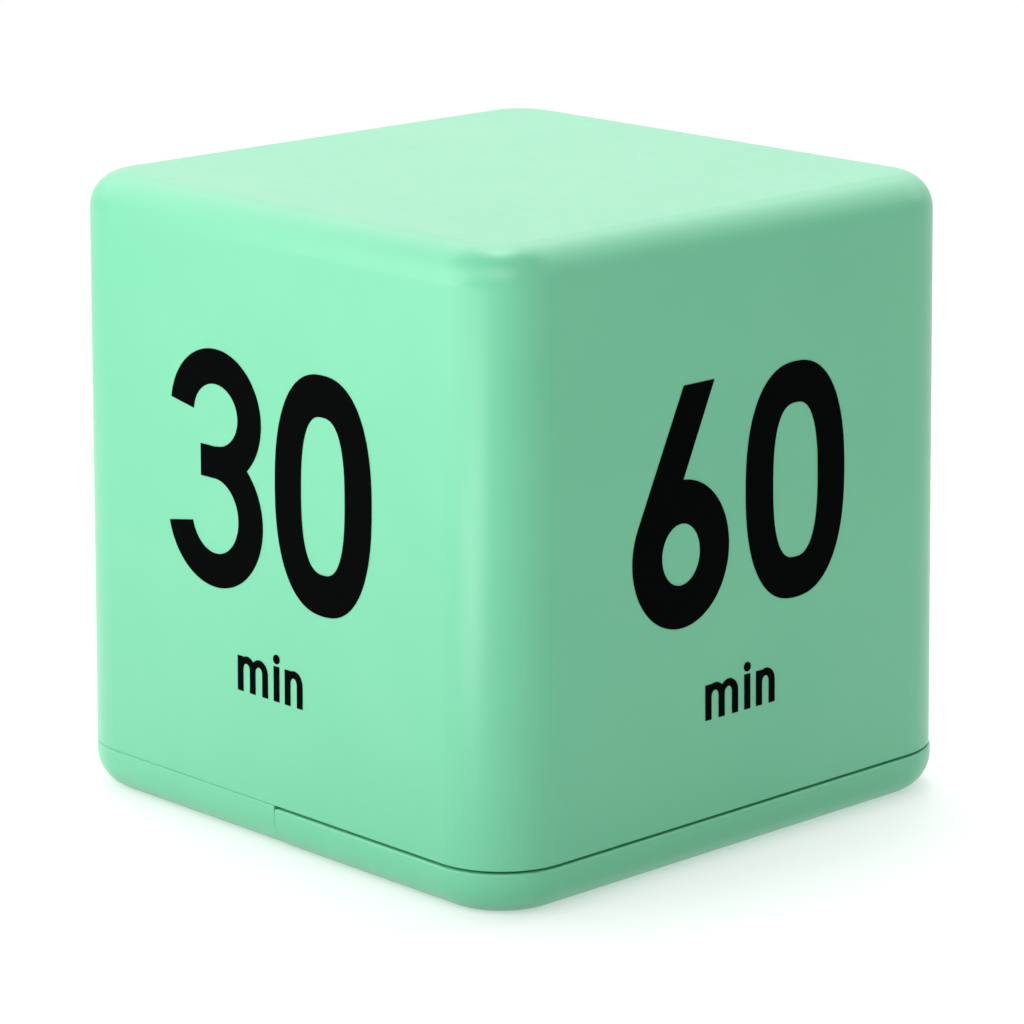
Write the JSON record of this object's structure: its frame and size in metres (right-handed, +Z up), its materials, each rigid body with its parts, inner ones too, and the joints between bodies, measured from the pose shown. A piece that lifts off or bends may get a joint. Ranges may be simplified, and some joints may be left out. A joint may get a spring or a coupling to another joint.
{
  "type": "cube timer",
  "caption": "Rounded cube countdown timer: turned onto a side it counts the minutes printed on the side that faces up; sliding battery door, display and switch in the foot.",
  "frame": {"origin": "middle of the foot, on the surface that the timer stands on", "axes": "+Z up through the blank top, -Y the side marked 30, +X the side marked 60, towards which the battery door slides off"},
  "size_m": [0.0601, 0.0602, 0.0587],
  "materials": {
    "case_plastic": "smooth moulded ABS, satin gloss",
    "print_ink": "pad-printed black ink",
    "clear_window": "clear acrylic sheet",
    "lcd_glass": "display glass with polariser",
    "rubber_strip": "layered conducting rubber",
    "frame_plastic": "moulded frame",
    "board": "glass-fibre board with solder mask",
    "epoxy": "cured epoxy drop",
    "steel_can": "drawn can",
    "chip_ceramic": "fired chip",
    "resistor_body": "coated chip",
    "black_plastic": "moulded",
    "tinned_brass": "tinned",
    "brass": "rolled sheet",
    "piezo_ceramic": "silvered",
    "red_lead": "PVC insulation",
    "black_lead": "PVC insulation",
    "ball_steel": "polished",
    "cell_sleeve": "plain printed sleeve",
    "nickel_plate": "nickel plated",
    "zinc_screw": "zinc plated"
  },
  "bodies": {
    "case": {"housing": "case_plastic", "base_plate": "case_plastic", "print_30": "print_ink", "print_60": "print_ink", "print_5": "print_ink", "print_15": "print_ink", "lcd_window": "clear_window", "lcd_front_glass": "lcd_glass", "lcd_back_glass": "lcd_glass", "lcd_frame": "frame_plastic", "zebra_strips": "rubber_strip", "circuit_board": "board", "chip_blob": "epoxy", "crystal": "steel_can", "resistors": "resistor_body", "capacitors": "chip_ceramic", "transistor": "epoxy", "switch_body": "black_plastic", "switch_terminals": "tinned_brass", "sounder_disc": "brass", "sounder_ceramic": "piezo_ceramic", "sounder_lead_red": "red_lead", "sounder_lead_black": "black_lead", "tilt_left_can": "brass", "tilt_left_header": "black_plastic", "tilt_right_can": "brass", "tilt_right_header": "black_plastic", "tilt_upright_can": "brass", "tilt_upright_header": "black_plastic", "tilt_pins": "tinned_brass", "battery_cell_1": "cell_sleeve", "battery_cell_2": "cell_sleeve", "contact_bridge": "nickel_plate", "contact_plus": "nickel_plate", "contact_minus": "nickel_plate", "contact_spring_1": "nickel_plate", "contact_spring_2": "nickel_plate", "battery_lead_red": "red_lead", "battery_lead_black": "black_lead", "case_screws": "zinc_screw", "board_screws": "zinc_screw"},
    "door": {"battery_door": "case_plastic"},
    "switch_slider": {"switch_knob": "black_plastic"},
    "left_ball": {"tilt_left_ball": "ball_steel"},
    "right_ball": {"tilt_right_ball": "ball_steel"},
    "upright_ball": {"tilt_upright_ball": "ball_steel"}
  },
  "joints": [
    {"name": "door_slide", "type": "slide", "parent": "case", "child": "door", "axis": [1, 0, 0], "range_m": [0, 0.034]},
    {"name": "power_switch", "type": "slide", "parent": "case", "child": "switch_slider", "axis": [0, 1, 0], "range_m": [0, 0.004]},
    {"name": "left_ball_roll", "type": "slide", "parent": "case", "child": "left_ball", "axis": [-0.7071, 0.7071, 0], "range_m": [0, 0.0028]},
    {"name": "right_ball_roll", "type": "slide", "parent": "case", "child": "right_ball", "axis": [0.7071, 0.7071, 0], "range_m": [0, 0.0028]},
    {"name": "upright_ball_roll", "type": "slide", "parent": "case", "child": "upright_ball", "axis": [0, 0, 1], "range_m": [0, 0.0028]}
  ]
}
